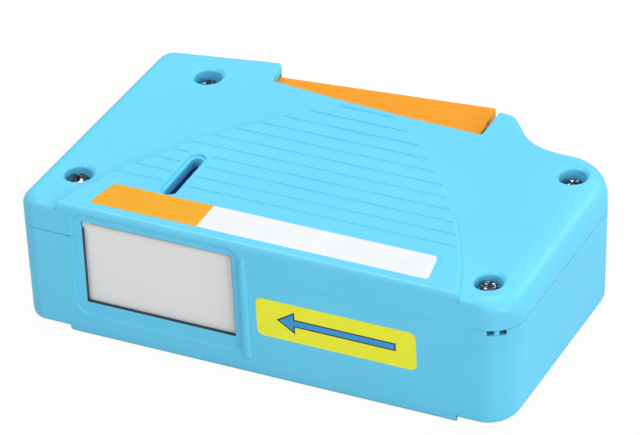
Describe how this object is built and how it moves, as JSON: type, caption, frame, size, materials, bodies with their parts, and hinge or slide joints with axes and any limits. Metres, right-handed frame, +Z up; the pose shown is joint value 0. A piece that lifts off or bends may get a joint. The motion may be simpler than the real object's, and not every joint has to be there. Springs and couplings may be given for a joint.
{
  "type": "fibre optic cleaning cassette",
  "caption": "Hand-held tape cassette for wiping fibre optic connector ends: a thumb lever opens the shutter over the cleaning slots and winds fresh tape.",
  "frame": {"origin": "centre of the underside of the bounding box, on the plane the base panel rests on", "axes": "+X to the right along the body's length, +Y to the back where the lever is, +Z up through the top panel"},
  "size_m": [0.1237, 0.076, 0.036],
  "materials": {
    "shell": "satin light blue",
    "lever_plastic": "satin orange",
    "shutter_plastic": "matte light grey",
    "screw_steel": "plated",
    "bright_steel": "ground",
    "spring_steel": "drawn wire and strip",
    "smoked_lens": "clear smoked",
    "white_film": "satin film, orange at its left end",
    "yellow_film": "satin film with a printed arrow",
    "mask_plastic": "matte dark grey",
    "pad_felt": "soft dark felt",
    "white_plastic": "matte white",
    "tape_cloth": "fine woven cloth",
    "tape_roll_dark": "fine woven cloth, dark blue",
    "spool_plastic": "satin",
    "washer_plastic": "natural",
    "gear_plastic": "natural white",
    "clutch_plastic": "matte blue"
  },
  "bodies": {
    "case": {"top_shell": "shell", "bottom_shell": "shell", "case_screws": "screw_steel", "level_window": "smoked_lens", "top_label": "white_film", "arrow_label": "yellow_film", "shutter_rail": "bright_steel", "slot_mask": "mask_plastic", "cleaning_pad": "pad_felt", "pad_holder": "white_plastic", "cleaning_tape": "tape_cloth", "reel_spindles": "bright_steel", "spool_washers": "washer_plastic", "guide_pins": "bright_steel", "anti_reverse_pawl": "spring_steel", "supply_drag_spring": "spring_steel", "lever_pin": "bright_steel", "lever_return_spring": "spring_steel"},
    "lever": {"lever": "lever_plastic"},
    "drive": {"drive_wheel": "gear_plastic", "one_way_clutch": "clutch_plastic"},
    "shutter": {"shutter": "shutter_plastic"},
    "take_up": {"take_up_spool": "spool_plastic", "take_up_tape_roll": "tape_cloth"},
    "supply": {"supply_spool": "spool_plastic", "supply_tape_roll": "tape_roll_dark"},
    "left_roller": {"left_guide_roller": "white_plastic"},
    "right_roller": {"right_guide_roller": "white_plastic"}
  },
  "joints": [
    {"name": "lever_press", "type": "hinge", "parent": "case", "child": "lever", "pos_m": [-0.036, 0.02641, 0.018], "axis": [0, 0, -1], "range_deg": [0, 10.2], "stiffness_Nm_per_rad": 0.35, "springref_deg": -17.19, "deforming": ["lever_return_spring"]},
    {"name": "drive_turn", "type": "hinge", "parent": "case", "child": "drive", "pos_m": [0.016, -0.00735, 0.008], "axis": [0, 0, 1], "range_deg": [0, 87.2], "deforming": ["one_way_clutch"]},
    {"name": "shutter_slide", "type": "slide", "parent": "case", "child": "shutter", "axis": [1, 0, 0], "range_m": [0, 0.0396]},
    {"name": "take_up_turn", "type": "hinge", "parent": "case", "child": "take_up", "pos_m": [0.016, -0.00735, 0.021], "axis": [0, 0, 1], "continuous": true, "deforming": ["anti_reverse_pawl", "one_way_clutch"]},
    {"name": "supply_turn", "type": "hinge", "parent": "case", "child": "supply", "pos_m": [-0.0289, 0.0015, 0.021], "axis": [0, 0, 1], "continuous": true, "deforming": ["supply_drag_spring"]},
    {"name": "left_roller_turn", "type": "hinge", "parent": "case", "child": "left_roller", "pos_m": [-0.0462, -0.0274, 0.021], "axis": [0, 0, 1], "continuous": true},
    {"name": "right_roller_turn", "type": "hinge", "parent": "case", "child": "right_roller", "pos_m": [-0.0055, -0.0274, 0.021], "axis": [0, 0, 1], "continuous": true}
  ],
  "couplings": [
    {"joint": "drive_turn", "follows": "lever_press", "ratio": 8.5385},
    {"joint": "shutter_slide", "follows": "lever_press", "m_per_rad": 0.222},
    {"joint": "supply_turn", "follows": "take_up_turn", "ratio": 0.61905},
    {"joint": "left_roller_turn", "follows": "take_up_turn", "ratio": 5.9091},
    {"joint": "right_roller_turn", "follows": "take_up_turn", "ratio": 5.9091}
  ]
}
